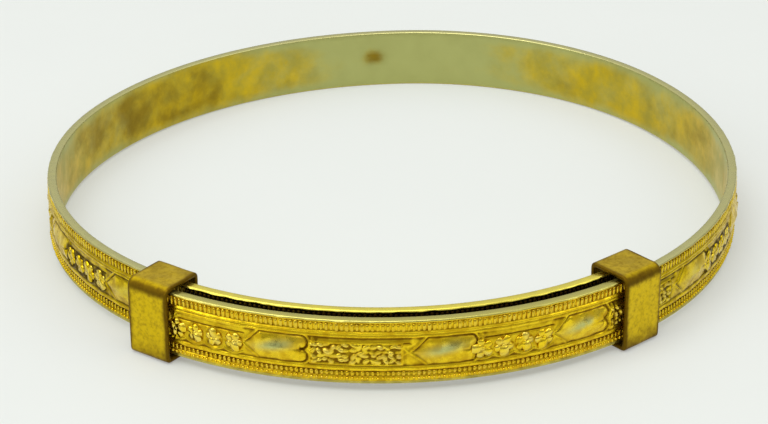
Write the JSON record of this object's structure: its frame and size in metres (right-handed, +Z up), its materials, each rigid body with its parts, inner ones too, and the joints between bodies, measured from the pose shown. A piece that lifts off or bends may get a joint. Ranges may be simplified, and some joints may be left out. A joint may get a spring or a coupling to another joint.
{
  "type": "bangle bracelet",
  "caption": "Expanding bangle: an embossed gilt spring strip rolled into a ring, its overlapping ends held by sliding box collars.",
  "frame": {"origin": "middle of the ring's plan outline, on the surface that the two collars stand on", "axes": "+Z up along the wrist opening, -Y towards the overlapped front, +X to the right seen from the front"},
  "size_m": [0.0644, 0.0648, 0.007],
  "materials": {
    "gilt_strip": "worn gold plate over pale base metal, embossed",
    "gilt_collar": "worn gold plate with brown tarnish, smooth",
    "solder": "dull, rough"
  },
  "bodies": {
    "outer_front": {"strip_outer_front": "gilt_strip", "collar_left": "gilt_collar", "solder_left": "solder"},
    "right_side": {"strip_right_side": "gilt_strip"},
    "right_back": {"strip_right_back": "gilt_strip"},
    "left_back": {"strip_left_back": "gilt_strip"},
    "left_side": {"strip_left_side": "gilt_strip"},
    "inner_front": {"strip_inner_front": "gilt_strip", "collar_right": "gilt_collar", "solder_right": "solder"}
  },
  "joints": [
    {"name": "bend_right_front", "type": "hinge", "parent": "outer_front", "child": "right_side", "pos_m": [0.02719, -0.01553, 0.0035], "axis": [0, 0, -1], "range_deg": [-2.06, 5.65]},
    {"name": "bend_right_side", "type": "hinge", "parent": "right_side", "child": "right_back", "pos_m": [0.02719, 0.01767, 0.0035], "axis": [0, 0, -1], "range_deg": [-1.25, 3.38]},
    {"name": "bend_back", "type": "hinge", "parent": "right_back", "child": "left_back", "pos_m": [0.00268, 0.03182, 0.0035], "axis": [0, 0, -1], "range_deg": [-0.94, 2.52]},
    {"name": "bend_left_side", "type": "hinge", "parent": "left_back", "child": "left_side", "pos_m": [-0.02776, 0.01425, 0.0035], "axis": [0, 0, -1], "range_deg": [-1.46, 3.97]},
    {"name": "expand", "type": "hinge", "parent": "left_side", "child": "inner_front", "pos_m": [-0.02776, -0.01465, 0.0035], "axis": [0, 0, -1], "range_deg": [-2.3, 6.4]}
  ],
  "couplings": [
    {"joint": "bend_right_front", "follows": "expand", "ratio": 0.8755},
    {"joint": "bend_right_side", "follows": "expand", "ratio": 0.5202},
    {"joint": "bend_back", "follows": "expand", "ratio": 0.3855},
    {"joint": "bend_left_side", "follows": "expand", "ratio": 0.6121}
  ]
}
